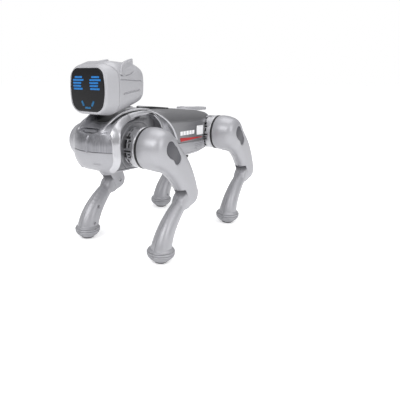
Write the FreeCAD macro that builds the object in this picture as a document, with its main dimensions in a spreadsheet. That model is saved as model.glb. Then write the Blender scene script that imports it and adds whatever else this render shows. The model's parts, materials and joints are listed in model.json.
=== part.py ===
"""Robot dog toy, in millimetres: +Z up, nose towards -Y, its own left side on +X.

The origin is on the floor, under the middle of the dog's bounding box.
"""
import FreeCAD, Part
import math
import os
import re
import Sketcher
from FreeCAD import Rotation, Vector

doc = FreeCAD.newDocument("robot_dog")

# ---------------------------------------------------------------- driving dimensions
DIMENSIONS = dict(
    wall=2.2, trim_stand=1.5, trim_width=3.2, press=0.2, free=0.05, slack=0.3,
    # torso sections, nose to tail: station, half width, underside, top, corner radius
    nose_y=-165.5, nose_half=18, nose_low=142, nose_high=172, nose_corner=12,
    chest_y=-158.5, chest_half=33, chest_low=129, chest_high=181, chest_corner=18,
    shoulder_y=-147.5, shoulder_half=44, shoulder_low=123, shoulder_high=187, shoulder_corner=20,
    middle_y=-50, middle_half=42, middle_low=120, middle_high=200, middle_corner=20,
    loin_y=50, loin_half=38, loin_low=119, loin_high=196, loin_corner=20,
    rump_y=94, rump_half=32, rump_low=123, rump_high=189, rump_corner=18,
    # how the torso casing is divided
    cover_split=150, flank_high=143, flank_low=127, cap_y=88,
    lean_top_y=-66, lean_top_z=200, lean_angle=40,
    # recess round each front hip
    arch_y=-103, arch_radius=41, arch_foot=124, recess_face=34,
    # hips
    front_hip_y=-102.5, rear_hip_y=87.5, hip_height=153, housing_radius=28.5,
    front_housing=34, rear_housing=29.1, housing_end=46, seal_radius=27.3, seal_end=47.2,
    shaft_radius=6, shaft_end=60, hub_radius=10, hub_end=79,
    # thigh, measured across the dog for x and from the hip axis for the rest
    dome_inner=47.4, dome_radius=28, dome_round=19, dome_hollow=25, cavity_end=71,
    inner_face=58, leg_plane=71, outer_face=84, thigh_radius=25, thigh_edge=9, thigh_inner_edge=6,
    knee_back=62, knee_drop=72.5, knee_radius=16, fork_inner=60.7, fork_outer=81.3, fork_radius=13.6,
    fork_reach=45, fold_angle=-172, middle_angle=-140, stretch_angle=-107,
    pin_radius=2.5, pin_inner=59.5, pin_outer=82.5,
    hollow_back=38, hollow_drop=44.5, hollow_hip=21, hollow_end=13,
    inlay_top_back=4, inlay_top_up=2, inlay_top_radius=9.5,
    inlay_low_back=19, inlay_low_drop=13, inlay_low_radius=8, inlay_floor=82.4, inlay_face=84.2,
    # shank, ring by ring down its curve: behind and below the hip, radius, tilt
    knuckle_radius=11, knuckle_inner=61.5, knuckle_outer=80.5,
    top_back=62, top_drop=72.5, top_radius=9, top_tilt=-63,
    calf_back=42, calf_drop=82.5, calf_radius=10.1, calf_tilt=-58,
    shin_back=20.5, shin_drop=98.5, shin_radius=12.2, shin_tilt=-47,
    lower_back=7.5, lower_drop=115, lower_radius=13.4, lower_tilt=-31,
    ankle_back=1.5, ankle_drop=130, ankle_radius=14.2, ankle_tilt=-14,
    heel_back=0, heel_drop=139, heel_radius=14.8, heel_tilt=0,
    foot_collar=18.5, foot_high=15, foot_low=10, foot_radius=18, sole_height=3, sole_radius=11.5,
    # machinery inside the torso
    servo_length=40, servo_width=21, servo_height=23, servo_offset=4, servo_inner=8, plate_thick=4,
    plate_front=-128, plate_rear=84, plate_half=28, bridge_half=7.5,
    board_front=-40, board_rear=60, board_half=24, board_low=172, board_thick=1.6,
    speaker_front=-148, speaker_rear=-139, speaker_radius=14, speaker_z=153,
    battery_front=6, battery_rear=66, battery_half=14, battery_low=124, battery_high=135.5,
    port_front=86, port_rear=94.6, port_radius=4.5, port_z=166,
    # controls and tail
    pad_front=-58, pad_rear=2, pad_half=12, pad_low=190, pad_high=203.6,
    switch_x=21, switch_y=32, switch_half=3, stem_half=1.5, switch_travel=4, switch_low=115.8,
    switch_seat=118.6, switch_flange=122.8, switch_top=124.2,
    tail_front=42, tail_z=197.6, tail_length=84.5, tail_half=11.5, tail_thick=4.5, tail_angle=-7.8,
    peg_y=50, peg_radius=3.5, peg_low=188, peg_high=198.6,
    # neck and head
    neck_y=-94, neck_radius=13, collar_low=187, collar_high=204.8, neck_shaft_radius=5,
    neck_shaft_low=186.2, neck_shaft_high=217, boss_radius=9, boss_low=205.4, boss_high=222,
    face_y=-161.5, face_half=32, face_low=200, face_high=258.5, face_corner=15,
    crease_y=-141, crease_half=36, crease_low=197.5, crease_high=264.5, crease_corner=15,
    nape_y=-96, nape_half=30, nape_low=209, nape_high=261.5, nape_corner=13,
    back_y=-86, back_half=24, back_low=215, back_high=255, back_corner=11,
    lens_margin=3.4, lens_depth=2, display_margin=6, display_y=-159, display_depth=1.6,
    ear_front=-123, ear_rear=-99, ear_low=256, ear_tip=269.5, ear_centre=20, ear_half=2.6, ear_bow=60,
)
FAR = 400               # larger than the whole dog, for cutters that pass right through a piece

sheet = doc.addObject("Spreadsheet::Sheet", "sizes")
for row, (alias, number) in enumerate(DIMENSIONS.items(), start=1):
    sheet.set(f"A{row}", alias)
    sheet.set(f"B{row}", str(number))
    sheet.setAlias(f"B{row}", alias)
doc.recompute()


# ---------------------------------------------------------------- helpers
# The numbers drawn in a sketch only give it a starting shape; its named dimensions set the size.
def from_sheet(text):
    """Turn a formula of dimension names into a spreadsheet expression."""
    return re.sub(r"\b[a-z][a-z_]*\b(?!\()", lambda match: "sizes." + match.group(), str(text))


def bind(item, prop, text):
    item.setExpression(prop, from_sheet(text))


def place(item, x="0", y="0", z="0"):
    for axis, text in zip("xyz", (x, y, z)):
        bind(item, f"Placement.Base.{axis}", text)
    return item


def box(name, x, y, z):
    """A box between two formulas along each axis."""
    item = doc.addObject("Part::Box", name)
    for prop, (low, high) in zip(("Length", "Width", "Height"), (x, y, z)):
        bind(item, prop, f"({high}) - ({low})")
    return place(item, x[0], y[0], z[0])


def rod(name, axis, radius, span, x="0", y="0", z="0"):
    """A cylinder along one axis; span gives its two ends on that axis."""
    item = doc.addObject("Part::Cylinder", name)
    bind(item, "Radius", radius)
    bind(item, "Height", f"({span[1]}) - ({span[0]})")
    turned = {"x": Rotation(Vector(0, 1, 0), 90), "y": Rotation(Vector(1, 0, 0), -90), "z": Rotation()}
    item.Placement.Rotation = turned[axis]
    return place(item, **{**dict(x=x, y=y, z=z), axis: span[0]})


def cone(name, low_radius, high_radius, span, x, y):
    """An upright cone between two heights."""
    item = doc.addObject("Part::Cone", name)
    bind(item, "Radius1", low_radius)
    bind(item, "Radius2", high_radius)
    bind(item, "Height", f"({span[1]}) - ({span[0]})")
    return place(item, x, y, span[0])


def turned_box(name, x, length, width, angle, y, z):
    """A box from a point along a direction in the side plane, centred on that direction."""
    item = box(name, x, (0, length), (0, width))
    item.Placement.Rotation = Rotation(Vector(1, 0, 0), DIMENSIONS[angle])
    bind(item, "Placement.Rotation.Angle", angle)
    return place(item, x[0], f"{y} + ({width}) / 2 * sin({angle})", f"{z} - ({width}) / 2 * cos({angle})")


def fuse(name, *pieces):
    item = doc.addObject("Part::MultiFuse", name)
    item.Shapes = list(pieces)
    return item


def common(name, *pieces):
    item = doc.addObject("Part::MultiCommon", name)
    item.Shapes = list(pieces)
    return item


def cut(name, base, *tools):
    item = doc.addObject("Part::Cut", name)
    item.Base = base
    item.Tool = tools[0] if len(tools) == 1 else fuse(f"{name}_cutters", *tools)
    return item


def group(name, *pieces):
    item = doc.addObject("Part::Compound", name)
    item.Links = list(pieces)
    return item


def mirrored(name, source):
    """The same piece on the dog's right side."""
    item = doc.addObject("Part::Mirroring", name)
    item.Source = source
    item.Normal = Vector(1, 0, 0)
    return item


def pair(name, left):
    """A left piece and its mirror image, as one group."""
    return group(name, left, mirrored(f"{name}_right", left))


def sketch_on(body, name, role, offset):
    """An empty sketch on one of the body's own origin planes, moved along its normal."""
    plane = next(item for item in body.Origin.OriginFeatures if item.Role == role)
    sketch = body.newObject("Sketcher::SketchObject", name)
    sketch.AttachmentSupport = (plane, [""])
    sketch.MapMode = "FlatFace"
    bind(sketch, "AttachmentOffset.Base.z", offset)
    return sketch


def dimension(sketch, name, text, *constraint):
    """A named dimensional constraint, bound to the sheet."""
    index = sketch.addConstraint(Sketcher.Constraint(*constraint))
    sketch.renameConstraint(index, name)
    bind(sketch, f"Constraints.{name}", text)


def outline(sketch, curves, joint="Tangent", corners=()):
    """Add curves end to end, tangent at each joint except at the listed corners."""
    for curve in curves:
        sketch.addGeometry(curve, False)
    for index in range(len(curves)):
        kind = "Coincident" if index in corners else joint
        sketch.addConstraint(Sketcher.Constraint(kind, index, 2, (index + 1) % len(curves), 1))


def arc(x, y, radius, start, end):
    """A counter-clockwise arc between two angles in degrees."""
    circle = Part.Circle(Vector(x, y, 0), Vector(0, 0, 1), radius)
    return Part.ArcOfCircle(circle, math.radians(start), math.radians(end))


def line(x0, y0, x1, y1):
    return Part.LineSegment(Vector(x0, y0, 0), Vector(x1, y1, 0))


def section(body, name, station, half, low, high, corner):
    """A rounded rectangle across the body, at one station along Y."""
    sketch = sketch_on(body, name, "XZ_Plane", f"0 - ({station})")
    outline(sketch, [
        line(-22, 130, 22, 130), arc(22, 138, 8, 270, 360),
        line(30, 138, 30, 182), arc(22, 182, 8, 0, 90),
        line(22, 190, -22, 190), arc(-22, 182, 8, 90, 180),
        line(-30, 182, -30, 138), arc(-22, 138, 8, 180, 270)])
    for index in (0, 4):
        sketch.addConstraint(Sketcher.Constraint("Horizontal", index))
    for index in (2, 6):
        sketch.addConstraint(Sketcher.Constraint("Vertical", index))
    for index in (3, 5, 7):
        sketch.addConstraint(Sketcher.Constraint("Equal", 1, index))
    dimension(sketch, "corner", corner, "Radius", 1, 8)
    dimension(sketch, "right", half, "DistanceX", -1, 1, 2, 1, 30)
    dimension(sketch, "left", half, "DistanceX", 6, 1, -1, 1, 30)
    dimension(sketch, "low", low, "DistanceY", -1, 1, 0, 1, 130)
    dimension(sketch, "high", high, "DistanceY", -1, 1, 4, 1, 190)
    return sketch


def lofted(name, stations, inset="0"):
    """A casing form through the named sections, made smaller all round by inset."""
    body = doc.addObject("PartDesign::Body", name)
    ends = {stations[0]: f" + ({inset})", stations[-1]: f" - ({inset})"}
    sketches = [section(body, f"{name}_{part}", f"{part}_y{ends.get(part, '')}",
                        f"{part}_half - ({inset})", f"{part}_low + ({inset})",
                        f"{part}_high - ({inset})", f"{part}_corner - ({inset})")
                for part in stations]
    loft = body.newObject("PartDesign::AdditiveLoft", f"{name}_loft")
    loft.Profile = sketches[0]
    loft.Sections = sketches[1:]
    loft.Ruled = True
    return body


def face_plate(name, margin, start, depth):
    """A plate of the screen's outline, smaller all round by margin, that runs back from start."""
    body = doc.addObject("PartDesign::Body", name)
    sketch = section(body, f"{name}_outline", start, f"face_half - {margin}", f"face_low + {margin}",
                     f"face_high - {margin}", f"face_corner - {margin} / 2")
    pad = body.newObject("PartDesign::Pad", f"{name}_pad")
    pad.Profile = sketch
    pad.Reversed = True
    bind(pad, "Length", depth)
    return body


def limb(name, hip_y, span, upper, lower, edge=None, edge_face=None):
    """A plate in the side plane: two round ends joined by tangent sides, at one hip.

    upper and lower are (behind the hip, above or below it, radius); edge rounds the rim of the
    face that lies on edge_face.
    """
    body = doc.addObject("PartDesign::Body", name)
    sketch = sketch_on(body, f"{name}_outline", "YZ_Plane", span[0])
    outline(sketch, [line(-8, -7, 32, -52), arc(40, -45, 10, 220, 400),
                     line(48, -38, 8, 7), arc(0, 0, 10, 40, 220)])
    dimension(sketch, "upper_radius", upper[2], "Radius", 3, 10)
    dimension(sketch, "lower_radius", lower[2], "Radius", 1, 10)
    dimension(sketch, "upper_back", upper[0], "DistanceX", -1, 1, 3, 3, 0)
    dimension(sketch, "upper_up", upper[1], "DistanceY", -1, 1, 3, 3, 0)
    dimension(sketch, "lower_back", lower[0], "DistanceX", -1, 1, 1, 3, 40)
    dimension(sketch, "lower_drop", lower[1], "DistanceY", 1, 3, -1, 1, 45)
    pad = body.newObject("PartDesign::Pad", f"{name}_pad")
    pad.Profile = sketch
    bind(pad, "Length", f"({span[1]}) - ({span[0]})")
    place(body, "0", hip_y, "hip_height")
    if edge:
        doc.recompute()
        rim = [f"Edge{index}" for index, side in enumerate(pad.Shape.Edges, start=1)
               if abs(side.BoundBox.XMin - DIMENSIONS[edge_face]) < 1e-3 and side.BoundBox.XLength < 1e-3]
        fillet = body.newObject("PartDesign::Fillet", f"{name}_edge")
        fillet.Base = (pad, rim)
        bind(fillet, "Radius", edge)
    return body


parts = []


def keep(label, item):
    """Name a finished sub-part, which is written to its own file."""
    item.Label = label
    parts.append(item)
    return item


# ---------------------------------------------------------------- torso casing
TORSO = ("nose", "chest", "shoulder", "middle", "loin", "rump")
EVERYWHERE = (-FAR, FAR)


def arch(name, radius, span):
    """A flat-sided block with a round top, over one front hip."""
    rounded = rod(f"{name}_round", "x", radius, span, y="arch_y", z="hip_height")
    sides = box(f"{name}_sides", span, (f"arch_y - ({radius})", f"arch_y + ({radius})"),
                ("arch_foot", "hip_height"))
    return fuse(name, rounded, sides)


def build_torso():
    """The torso casing: one hollow form, divided the way the mouldings meet."""
    hollow = lofted("torso_hollow", TORSO, "wall")
    skin = cut("torso_skin", lofted("torso_form", TORSO), hollow)
    opening = arch("arch_opening", "arch_radius + trim_width", ("recess_face", FAR))
    hip_hole = rod("rear_hip_hole", "x", "housing_radius", ("rear_housing", FAR),
                   y="rear_hip_y", z="hip_height")
    shell = cut("torso_shell", skin, pair("arch_openings", opening), pair("rear_hip_holes", hip_hole))

    behind = turned_box("behind_lean", EVERYWHERE, 2 * FAR, 2 * FAR, "lean_angle",
                        "lean_top_y", "lean_top_z")
    front = cut("front_casing", shell, behind)
    rear = cut("rear_casing", common("behind_casing", shell, behind),
               box("cap_half", EVERYWHERE, ("cap_y", FAR), (0, FAR)))

    neck_hole = rod("neck_hole", "z", "neck_radius", ("collar_low", FAR), y="neck_y")
    keep("chest_upper_cover", cut("chest_upper", front, neck_hole,
                                  box("below_split", EVERYWHERE, EVERYWHERE, (0, "cover_split"))))
    keep("chest_lower_shell", cut("chest_lower", front,
                                  box("above_split", EVERYWHERE, EVERYWHERE, ("cover_split", FAR))))

    pad_hole = oval("pad_hole", "pad_half + slack", ("pad_low", FAR))
    peg_hole = rod("peg_hole", "z", "peg_radius", ("peg_low", FAR), y="peg_y")
    keep("back_shell", cut("back", rear, pad_hole, peg_hole,
                           box("below_back", EVERYWHERE, EVERYWHERE, (0, "flank_high"))))
    keep("flank_panels", common("flanks", rear,
                                box("flank_band", EVERYWHERE, EVERYWHERE, ("flank_low", "flank_high"))))

    belly = common("belly", rear, box("belly_band", EVERYWHERE, EVERYWHERE, (0, "flank_low")))
    hatch = box("hatch", ("0 - battery_half - wall", "battery_half + wall"),
                ("battery_front - wall", "battery_rear + wall"), (0, "battery_low"))
    slot = box("switch_slot", ("switch_x - stem_half - slack", "switch_x + stem_half + slack"),
               ("switch_y - stem_half - slack", "switch_y + stem_half + switch_travel + slack"),
               (0, "battery_low"))
    keep("belly_cover", cut("belly_shell", belly, hatch, slot))
    keep("battery_cover", common("battery_hatch", belly, hatch))

    port = rod("port", "y", "port_radius", ("port_front", "port_rear"), z="port_z")
    keep("charge_port", port)
    cap = common("rear_cap", shell, box("rear_half", EVERYWHERE, ("cap_y", FAR), (0, FAR)))
    keep("rear_end_cap", cut("rear_cap_with_port", cap, port))

    panel = arch("recess_plate", "arch_radius + trim_width", ("recess_face - wall", "recess_face"))
    shaft_hole = rod("recess_shaft_hole", "x", "shaft_radius + slack", (0, FAR),
                     y="front_hip_y", z="hip_height")
    keep("recess_panels", pair("recess_pair", cut("recess_panel", common("recess_inside", panel, hollow),
                                                  shaft_hole)))
    band = cut("arch_band", arch("arch_band_outer", "arch_radius + trim_width", ("recess_face", FAR)),
               arch("arch_band_inner", "arch_radius", (0, FAR)),
               box("below_foot", EVERYWHERE, EVERYWHERE, (0, "arch_foot")))
    proud = lofted("torso_proud", TORSO, "0 - trim_stand")
    keep("arch_trims", pair("trim_pair", common("arch_trim", band, proud)))


# ---------------------------------------------------------------- inside the torso
def servo(name, x, y, z):
    """A servo motor case; each span starts at one formula and has the length of the other."""
    return box(name, *((start, f"{start} + {length}") for start, length in (x, y, z)))


def build_machinery():
    """Frame, motors, battery, board and speaker."""
    hip_servo_low = "hip_height - servo_height / 2"
    neck_servo_low = "neck_shaft_low - press - servo_width"
    plate = box("frame_plate", ("0 - plate_half", "plate_half"), ("plate_front", "plate_rear"),
                (f"{hip_servo_low} - plate_thick", hip_servo_low))
    bridge = box("neck_bridge", ("0 - bridge_half", "bridge_half"),
                 ("neck_y - servo_offset", "neck_y - servo_offset + servo_length"),
                 (hip_servo_low, neck_servo_low))
    keep("chassis_frame", fuse("frame", plate, bridge))

    across = ("servo_inner", "servo_width")
    upright = (hip_servo_low, "servo_height")
    front = servo("front_servo", across, ("front_hip_y - servo_offset", "servo_length"), upright)
    rear = servo("rear_servo", across, ("rear_hip_y + servo_offset - servo_length", "servo_length"),
                 upright)
    neck = servo("neck_servo", ("0 - servo_height / 2", "servo_height"),
                 ("neck_y - servo_offset", "servo_length"), (neck_servo_low, "servo_width"))
    keep("servo_motors", group("servos", front, rear, mirrored("front_servo_right", front),
                               mirrored("rear_servo_right", rear), neck))

    keep("battery_pack", box("battery", ("0 - battery_half", "battery_half"),
                             ("battery_front", "battery_rear"), ("battery_low", "battery_high")))
    keep("circuit_board", box("board", ("0 - board_half", "board_half"), ("board_front", "board_rear"),
                              ("board_low", "board_low + board_thick")))
    keep("speaker", rod("loudspeaker", "y", "speaker_radius", ("speaker_front", "speaker_rear"),
                        z="speaker_z"))


# ---------------------------------------------------------------- controls and tail
def oval(name, half, span):
    """An upright oval prism on the back, its long side along the dog."""
    ends = [rod(f"{name}_{end}", "z", half, span, y=f"pad_{end} {sign} pad_half")
            for end, sign in (("front", "+"), ("rear", "-"))]
    return fuse(name, *ends, box(f"{name}_middle", (f"0 - ({half})", half),
                                 ("pad_front + pad_half", "pad_rear - pad_half"), span))


def build_controls():
    """Touch pad on the back, slide switch under the belly, and the tail blade."""
    keep("touch_button", oval("touch_pad", "pad_half", ("pad_low", "pad_high")))

    layers = (("knob", "switch_half", "switch_low", "switch_seat"),
              ("stem", "stem_half", "switch_seat", "switch_flange"),
              ("flange", "switch_half", "switch_flange", "switch_top"))
    keep("power_switch", fuse("switch", *[
        box(f"switch_{name}", (f"switch_x - {half}", f"switch_x + {half}"),
            (f"switch_y - {half}", f"switch_y + {half}"), span) for name, half, *span in layers]))

    blade = turned_box("tail_plate", ("0 - tail_half", "tail_half"), "tail_length", "tail_thick",
                       "tail_angle", "tail_front", "tail_z + tail_thick / 2")
    peg = rod("tail_peg", "z", "peg_radius", ("peg_low", "peg_high"), y="peg_y")
    keep("tail_blade", fuse("tail", blade, peg))


# ---------------------------------------------------------------- neck and head
HEAD = ("face", "crease", "nape", "back")


def build_head():
    """Neck collar and shaft, the two head shells, screen and ears."""
    collar = rod("collar", "z", "neck_radius", ("collar_low", "collar_high"), y="neck_y")
    keep("neck_collar", cut("collar_ring", collar, rod("collar_bore", "z", "neck_shaft_radius + free",
                                                       (0, FAR), y="neck_y")))
    shaft = rod("head_shaft", "z", "neck_shaft_radius", ("neck_shaft_low", "neck_shaft_high"),
                y="neck_y")
    keep("neck_shaft", shaft)

    form = lofted("head_form", HEAD)
    skin = cut("head_skin", form, lofted("head_hollow", HEAD, "wall"))
    front_half = box("head_front_half", EVERYWHERE, (-FAR, "crease_y"), (0, FAR))
    keep("screen_lens", face_plate("lens", "lens_margin", "face_y", "lens_depth"))
    window = face_plate("window", "lens_margin", "face_y - slack", "lens_depth + wall")
    keep("head_front_shell", cut("head_front", common("head_front_skin", skin, front_half), window))
    keep("face_display", face_plate("display", "display_margin", "display_y", "display_depth"))

    boss = rod("neck_boss", "z", "boss_radius", ("boss_low", "boss_high"), y="neck_y")
    rear_skin = cut("head_rear_skin", skin, front_half)
    keep("head_rear_shell", cut("head_rear", fuse("head_rear_with_boss", rear_skin, boss), shaft))

    fin = doc.addObject("PartDesign::Body", "ear_fin")
    sketch = sketch_on(fin, "ear_outline", "YZ_Plane", "ear_centre - ear_half")
    outline(sketch, [line(-123, 256, -99, 256), line(-99, 256, -99, 269), arc(-99, 230, 39, 90, 130)],
            joint="Coincident")
    sketch.addConstraint(Sketcher.Constraint("Horizontal", 0))
    sketch.addConstraint(Sketcher.Constraint("Vertical", 1))
    dimension(sketch, "front", "0 - ear_front", "DistanceX", 0, 1, -1, 1, 123)
    dimension(sketch, "rear", "0 - ear_rear", "DistanceX", 1, 1, -1, 1, 99)
    dimension(sketch, "low", "ear_low", "DistanceY", -1, 1, 0, 1, 256)
    dimension(sketch, "tip", "ear_tip", "DistanceY", -1, 1, 1, 2, 269)
    dimension(sketch, "bow", "ear_bow", "Radius", 2, 39)
    pad = fin.newObject("PartDesign::Pad", "ear_pad")
    pad.Profile = sketch
    bind(pad, "Length", "2 * ear_half")
    keep("ears", pair("ear_pair", cut("ear", fin, form)))


# ---------------------------------------------------------------- legs
SHANK = ("top", "calf", "shin", "lower", "ankle", "heel")


def tube(name, rings, hip_y, inset="0"):
    """The shank's curved form through its rings, made thinner by inset."""
    circles = []
    for ring in rings:
        circle = doc.addObject("Part::Circle", f"{name}_{ring}")
        bind(circle, "Radius", f"{ring}_radius - ({inset})")
        circle.Placement.Rotation = Rotation(Vector(1, 0, 0), DIMENSIONS[f"{ring}_tilt"])
        place(circle, "leg_plane", f"{hip_y} + {ring}_back", f"hip_height - {ring}_drop")
        circles.append(circle)
    item = doc.addObject("Part::Loft", name)
    item.Sections = circles
    item.Solid = True
    return item


def build_leg(end, hip_y, housing_start):
    """One left leg and its fixed hip ring; the right leg is its mirror image."""
    knee = dict(y=f"{hip_y} + knee_back", z="hip_height - knee_drop")
    hip = dict(y=hip_y, z="hip_height")
    at_hip = ("0", "0", "thigh_radius")
    at_knee = ("knee_back", "knee_drop", "knee_radius")

    def named(name):
        return f"{end}_{name}"

    def round_at(name, radius, start, stop, centre):
        return rod(named(name), "x", radius, (start, stop), **centre)

    # fixed hip ring and seal
    housing = cut(named("housing"), round_at("ring", "housing_radius", housing_start, "housing_end", hip),
                  round_at("ring_bore", "shaft_radius + free", 0, FAR, hip))
    seal = cut(named("seal"), round_at("seal_disc", "seal_radius", "housing_end", "seal_end", hip),
               round_at("seal_bore", "shaft_radius + slack", 0, FAR, hip))
    shaft = round_at("shaft", "shaft_radius", "servo_inner + servo_width + press", "shaft_end", hip)

    # thigh: a hollow dome on the hip axis, and a bar down to a fork at the knee
    dome_rim = "outer_face - dome_round"
    dome = fuse(named("dome"), round_at("dome_side", "dome_radius", "dome_inner", dome_rim, hip),
                rounded_cap(named("dome_cap"), hip_y))
    cavity = round_at("dome_cavity", "dome_hollow", "dome_inner + wall", "cavity_end", hip)
    hub = round_at("hub", "hub_radius", "dome_inner", "hub_end", hip)
    bar_hollow = limb(named("bar_hollow"), hip_y, ("inner_face + wall", "outer_face - wall"),
                      ("0", "0", "hollow_hip"), ("hollow_back", "hollow_drop", "hollow_end"))
    fork = [round_at("fork_eye", "fork_radius", "fork_inner", "fork_outer", knee)]
    for angle in ("fold_angle", "middle_angle", "stretch_angle"):
        fork.append(turned_box(named(f"fork_{angle}"), ("fork_inner", "fork_outer"), "fork_reach",
                               "2 * fork_radius", angle, knee["y"], knee["z"]))
    pin = round_at("pin", "pin_radius", "pin_inner", "pin_outer", knee)
    inlay = limb(named("inlay"), hip_y, ("inlay_floor", "inlay_face"),
                 ("inlay_top_back", "inlay_top_up", "inlay_top_radius"),
                 ("inlay_low_back", "inlay_low_drop", "inlay_low_radius"))
    outer_bar = limb(named("outer_bar"), hip_y, ("leg_plane", "outer_face"), at_hip, at_knee,
                     "thigh_edge", "outer_face")
    inner_bar = limb(named("inner_bar"), hip_y, ("inner_face", "leg_plane"), at_hip, at_knee,
                     "thigh_inner_edge", "inner_face")
    outer = fuse(named("thigh_solid"), dome, outer_bar)
    outer = fuse(named("thigh_hollowed"), cut(named("thigh_emptied"), outer, cavity, bar_hollow), hub)
    outer = cut(named("thigh_outer"), outer, shaft, pin, inlay, *fork)
    inner = cut(named("thigh_inner"), inner_bar, pin, bar_hollow, *fork,
                round_at("dome_clearance", "dome_radius", 0, "leg_plane", hip))

    # shank: a curved tube from the knuckle to the foot, split down its middle
    leg_at = ("leg_plane", hip_y)
    foot = fuse(named("foot"),
                cone(named("foot_top"), "foot_radius", "heel_radius", ("foot_high", "foot_collar"),
                     *leg_at),
                rod(named("foot_band"), "z", "foot_radius", ("foot_low", "foot_high"), *leg_at),
                cone(named("foot_taper"), "sole_radius", "foot_radius", ("sole_height", "foot_low"),
                     *leg_at))
    solid = fuse(named("shank_solid"), tube(named("tube"), SHANK, hip_y), foot,
                 round_at("knuckle", "knuckle_radius", "knuckle_inner", "knuckle_outer", knee))
    drilled = cut(named("shank"), solid, tube(named("tube_hollow"), SHANK[1:], hip_y, "wall"),
                  round_at("pin_bore", "pin_radius + free", "inner_face", "outer_face", knee))
    inside = box(named("inside"), ("0", "leg_plane"), EVERYWHERE, (0, FAR))
    sole = rod(named("sole"), "z", "sole_radius", ("0", "sole_height"), *leg_at)

    pieces = dict(hip_shaft=shaft, thigh_outer=outer, thigh_inner=inner, thigh_inlay=inlay, knee_pin=pin,
                  shank_outer=cut(named("shank_outer"), drilled, inside),
                  shank_inner=common(named("shank_inner"), drilled, inside), foot_sole=sole)
    for piece, item in pieces.items():
        keep(f"{piece}_{end}_left", item)
        keep(f"{piece}_{end}_right", mirrored(f"{end}_right_{piece}", item))
    return housing, seal


def rounded_cap(name, hip_y):
    """The dome's outer end: a disc with a large round edge."""
    body = doc.addObject("PartDesign::Body", name)
    sketch = sketch_on(body, f"{name}_outline", "XY_Plane", "0")
    outline(sketch, [line(65, 0, 84, 0), line(84, 0, 84, 9), arc(65, 9, 19, 0, 90), line(65, 28, 65, 0)],
            corners=(0, 2, 3))
    sketch.addConstraint(Sketcher.Constraint("PointOnObject", 0, 1, -1))
    sketch.addConstraint(Sketcher.Constraint("Horizontal", 0))
    sketch.addConstraint(Sketcher.Constraint("Vertical", 1))
    sketch.addConstraint(Sketcher.Constraint("Vertical", 3))
    sketch.addConstraint(Sketcher.Constraint("Vertical", 2, 2, 2, 3))
    dimension(sketch, "round", "dome_round", "Radius", 2, 19)
    dimension(sketch, "face", "outer_face", "DistanceX", -1, 1, 1, 1, 84)
    dimension(sketch, "reach", "dome_radius", "DistanceY", 3, 2, 3, 1, 28)
    spin = body.newObject("PartDesign::Revolution", f"{name}_spin")
    spin.Profile = sketch
    spin.ReferenceAxis = (sketch, ["H_Axis"])
    spin.Angle = 360
    return place(body, "0", hip_y, "hip_height")


# ---------------------------------------------------------------- build, check and write
build_torso()
build_machinery()
build_controls()
build_head()
rings = [build_leg("front", "front_hip_y", "front_housing"),
         build_leg("rear", "rear_hip_y", "rear_housing")]
for label, fixed in zip(("hip_housings", "hip_seals"), zip(*rings)):
    rights = [mirrored(f"{label}_right_{index}", item) for index, item in enumerate(fixed)]
    keep(label, group(f"{label}_set", *fixed, *rights))
doc.recompute()

for item in doc.Objects:
    bad = {"Invalid", "Error"} & set(item.State)
    if bad:
        raise RuntimeError(f"{item.Name} failed to build: {bad}")
os.makedirs("parts", exist_ok=True)
for item in parts:
    if item.Shape.isNull() or not item.Shape.isValid() or item.Shape.Volume <= 0:
        raise RuntimeError(f"{item.Label} has no valid solid")
    item.Shape.exportStep(os.path.join("parts", f"{item.Label}.step"))
print(len(parts), "parts written")
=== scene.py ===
"""The looks of the robot dog toy: smooth moulded casings, light bars, trims and finishes.

Every form is a signed distance written in millimetres, meshed where it is zero and scaled to metres.
"""
import json
import math

import bpy
import numpy as np
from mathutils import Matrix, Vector


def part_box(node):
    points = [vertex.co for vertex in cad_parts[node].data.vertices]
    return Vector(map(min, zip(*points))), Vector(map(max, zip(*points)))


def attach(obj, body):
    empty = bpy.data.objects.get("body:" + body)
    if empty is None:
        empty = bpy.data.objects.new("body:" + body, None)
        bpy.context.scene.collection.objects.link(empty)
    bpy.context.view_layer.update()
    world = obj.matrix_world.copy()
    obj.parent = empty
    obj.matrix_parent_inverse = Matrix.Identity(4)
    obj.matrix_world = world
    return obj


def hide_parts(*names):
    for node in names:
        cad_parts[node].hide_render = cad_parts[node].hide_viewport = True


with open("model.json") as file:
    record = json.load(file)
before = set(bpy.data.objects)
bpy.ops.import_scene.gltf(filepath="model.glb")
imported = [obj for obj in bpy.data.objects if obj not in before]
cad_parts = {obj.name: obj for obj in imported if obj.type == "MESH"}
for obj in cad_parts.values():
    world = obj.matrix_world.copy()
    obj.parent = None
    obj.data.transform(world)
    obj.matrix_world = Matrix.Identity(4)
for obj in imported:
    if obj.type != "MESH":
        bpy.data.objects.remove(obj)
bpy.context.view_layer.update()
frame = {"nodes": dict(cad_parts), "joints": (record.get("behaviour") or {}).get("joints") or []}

MM = 0.001
COARSE = 1.0

JOINTS = {joint["name"]: joint for joint in frame["joints"]}


def pivot(joint):
    """A joint's place in millimetres."""
    return np.array(JOINTS[joint]["pos_m"]) / MM


HIP = pivot("hip_front_left")
KNEE = pivot("knee_front_left")
REAR_SHIFT = pivot("hip_rear_left")[1] - HIP[1]
HIP_Y, HIP_Z = HIP[1:]
KNEE_BACK, KNEE_UP = KNEE[1] - HIP_Y, KNEE[2] - HIP_Z
LEG_X = KNEE[0]
NECK_Y = pivot("head_turn")[1]


def span(node, axis):
    """The lowest and highest place of a CAD node along one axis, in millimetres."""
    low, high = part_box(node)
    return low["xyz".index(axis)] / MM, high["xyz".index(axis)] / MM


# ---------------------------------------------------------------- forms
def soft_max(radius, *fields):
    """The overlap of forms, with its edges rounded."""
    total = fields[0]
    for field in fields[1:]:
        blend = np.maximum(radius - np.abs(total - field), 0)
        total = np.maximum(total, field) + blend * blend / (4 * radius)
    return total


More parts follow.
